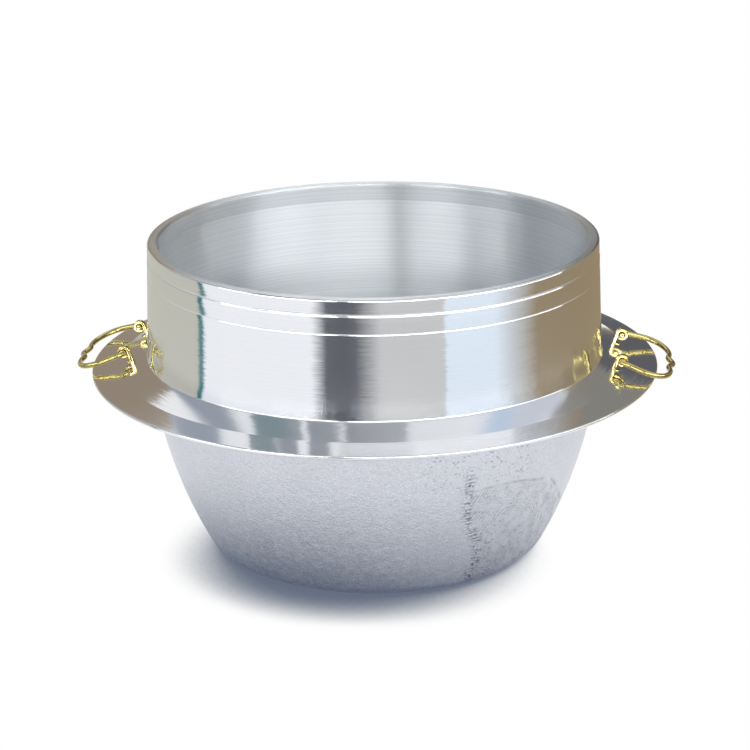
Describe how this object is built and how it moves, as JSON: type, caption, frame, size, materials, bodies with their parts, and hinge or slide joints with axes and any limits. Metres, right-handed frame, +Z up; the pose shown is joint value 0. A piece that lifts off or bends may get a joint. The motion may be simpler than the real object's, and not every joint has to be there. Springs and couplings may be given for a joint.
{
  "type": "flanged rice pot",
  "caption": "Round cast aluminium rice pot with a turned collar, a wide sloping flange to hang it in a stove ring, a rounded bowl with a flat base, and swinging brass bails.",
  "frame": {"origin": "centre of the flat base, on the surface that the pot stands on", "axes": "+Z up along the pot's axis, +X towards the right bail, -Y towards the front"},
  "size_m": [0.4038, 0.38, 0.213],
  "materials": {
    "cast_aluminium": "bright turned collar, flange and inside, fine sand-cast bowl",
    "bail_brass": "polished",
    "lug_brass": "polished",
    "washer_brass": "dull"
  },
  "bodies": {
    "pot": {"pot_body": "cast_aluminium", "lug_right_front": "lug_brass", "lug_right_rear": "lug_brass", "lug_left_front": "lug_brass", "lug_left_rear": "lug_brass", "washer_right_front": "washer_brass", "washer_right_rear": "washer_brass", "washer_left_front": "washer_brass", "washer_left_rear": "washer_brass"},
    "bail_right": {"bail_right": "bail_brass"},
    "bail_left": {"bail_left": "bail_brass"}
  },
  "joints": [
    {"name": "bail_right_swing", "type": "hinge", "parent": "pot", "child": "bail_right", "pos_m": [0.16616, 0, 0.13775], "axis": [0, -1, 0], "range_deg": [-6.2, 128.5]},
    {"name": "bail_left_swing", "type": "hinge", "parent": "pot", "child": "bail_left", "pos_m": [-0.16616, 0, 0.13775], "axis": [0, 1, 0], "range_deg": [-6.2, 128.5]}
  ]
}
